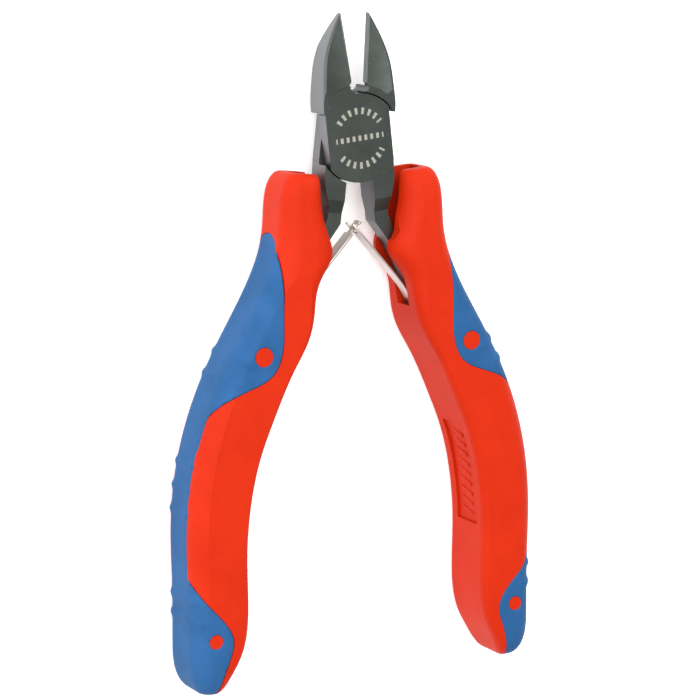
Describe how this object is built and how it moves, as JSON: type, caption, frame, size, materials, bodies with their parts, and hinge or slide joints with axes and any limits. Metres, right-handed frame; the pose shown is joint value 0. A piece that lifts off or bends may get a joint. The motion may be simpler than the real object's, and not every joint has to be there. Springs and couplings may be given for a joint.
{
  "type": "diagonal cutting pliers",
  "caption": "Small lap-jointed diagonal cutters with ground jaws, crossed leaf springs and two-colour moulded grips.",
  "frame": {"origin": "middle of the tool's own box, on the plane the backs of its grips lie on", "axes": "+Y towards the jaw tips, +Z out of the front face, +X towards the right-hand grip as seen from the front"},
  "size_m": [0.0732, 0.1272, 0.0142],
  "materials": {
    "forged_steel": "fine satin, dark grey-green conversion finish on the flats, ground flanks brighter",
    "rivet_steel": "ground flush with the lap",
    "spring_steel": "bright rolled strip",
    "grip_red": "fine spark-eroded texture, red-orange",
    "grip_blue": "smooth matt elastomer, mid blue"
  },
  "bodies": {
    "front_body": {"front_half": "forged_steel", "pivot_rivet": "rivet_steel", "right_grip_core": "grip_red", "right_grip_inlay": "grip_blue", "right_spring_foot": "spring_steel", "right_spring_rivet": "rivet_steel"},
    "rear_body": {"rear_half": "forged_steel", "left_grip_core": "grip_red", "left_grip_inlay": "grip_blue", "left_spring_foot": "spring_steel", "left_spring_rivet": "rivet_steel"},
    "right_leaf": {"right_spring_blade": "spring_steel"},
    "left_leaf": {"left_spring_blade": "spring_steel"}
  },
  "joints": [
    {"name": "pliers_pivot", "type": "hinge", "parent": "front_body", "child": "rear_body", "pos_m": [0, 0.04022, 0.0071], "axis": [0, 0, 1], "range_deg": [0, 12.7], "stiffness_Nm_per_rad": 1.5, "springref_deg": -2.86},
    {"name": "right_leaf_bend", "type": "hinge", "parent": "front_body", "child": "right_leaf", "pos_m": [0.01061, 0.01112, 0.0071], "axis": [0, 0, 1], "range_deg": [-8.21, 0]},
    {"name": "left_leaf_bend", "type": "hinge", "parent": "rear_body", "child": "left_leaf", "pos_m": [-0.01061, 0.01112, 0.0071], "axis": [0, 0, 1], "range_deg": [0, 8.21]}
  ],
  "couplings": [
    {"joint": "right_leaf_bend", "follows": "pliers_pivot", "ratio": -0.6349},
    {"joint": "left_leaf_bend", "follows": "pliers_pivot", "ratio": 0.6349}
  ]
}
